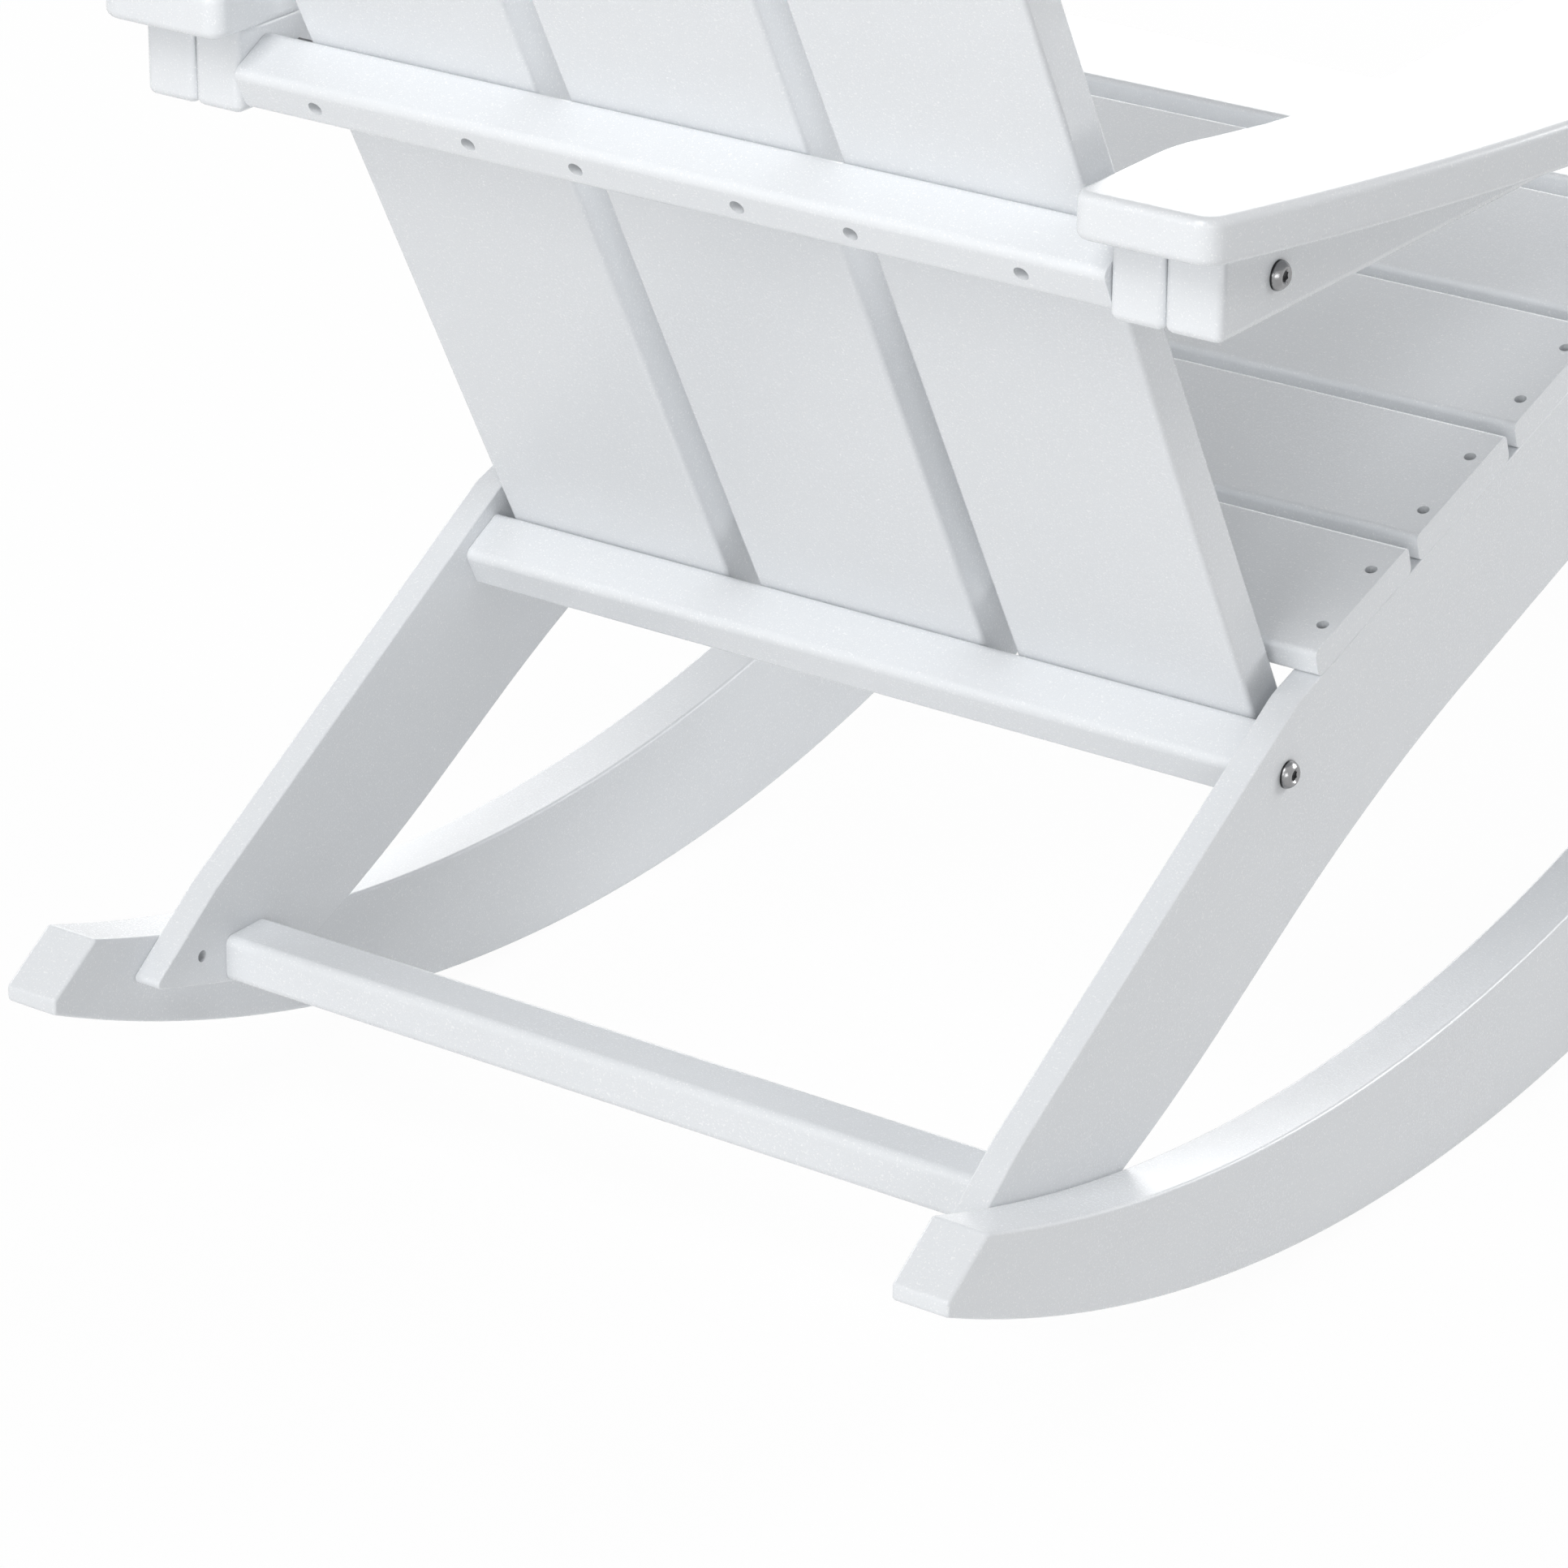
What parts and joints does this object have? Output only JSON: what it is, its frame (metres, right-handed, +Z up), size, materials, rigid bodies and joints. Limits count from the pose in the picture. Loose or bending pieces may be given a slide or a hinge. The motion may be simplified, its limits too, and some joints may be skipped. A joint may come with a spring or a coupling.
{
  "type": "rocking adirondack chair",
  "caption": "Outdoor rocking chair with a slatted, reclined seat and back, broad flat arms and curved rockers, built from thick white plastic-lumber boards.",
  "frame": {"origin": "point of the floor under the middle of the chair, between the two rockers, where their running edges touch the floor", "axes": "+X towards the sitter's left, +Y towards the back of the chair, +Z up"},
  "size_m": [0.8, 0.924, 0.9283],
  "materials": {
    "white_lumber": "satin, finely stippled recycled polyethylene board",
    "stainless_steel": "satin stainless",
    "brass_insert": "turned"
  },
  "bodies": {
    "root": {"apron_screws": "stainless_steel", "arm_screws": "stainless_steel", "arm_support_bolts": "stainless_steel", "arm_support_nuts": "stainless_steel", "center_back_slat": "white_lumber", "front_apron": "white_lumber", "front_seat_slat": "white_lumber", "left_arm": "white_lumber", "left_back_slat": "white_lumber", "left_front_leg": "white_lumber", "left_inner_arm_support": "white_lumber", "left_outer_arm_support": "white_lumber", "left_rocker": "white_lumber", "left_seat_stringer": "white_lumber", "lower_back_rail": "white_lumber", "lower_back_screws": "stainless_steel", "lower_rail_bolts": "stainless_steel", "lower_rail_inserts": "brass_insert", "rear_stretcher": "white_lumber", "right_arm": "white_lumber", "right_back_slat": "white_lumber", "right_front_leg": "white_lumber", "right_inner_arm_support": "white_lumber", "right_outer_arm_support": "white_lumber", "right_rocker": "white_lumber", "right_seat_stringer": "white_lumber", "rocker_barrel_nuts": "stainless_steel", "rocker_bolts": "stainless_steel", "rocker_screws": "stainless_steel", "seat_frame_bolts": "stainless_steel", "seat_frame_nuts": "stainless_steel", "seat_screws": "stainless_steel", "seat_slat_1": "white_lumber", "seat_slat_2": "white_lumber", "seat_slat_3": "white_lumber", "seat_slat_4": "white_lumber", "stretcher_screws": "stainless_steel", "upper_back_rail": "white_lumber", "upper_back_screws": "stainless_steel", "upper_rail_screws": "stainless_steel"}
  },
  "joints": []
}
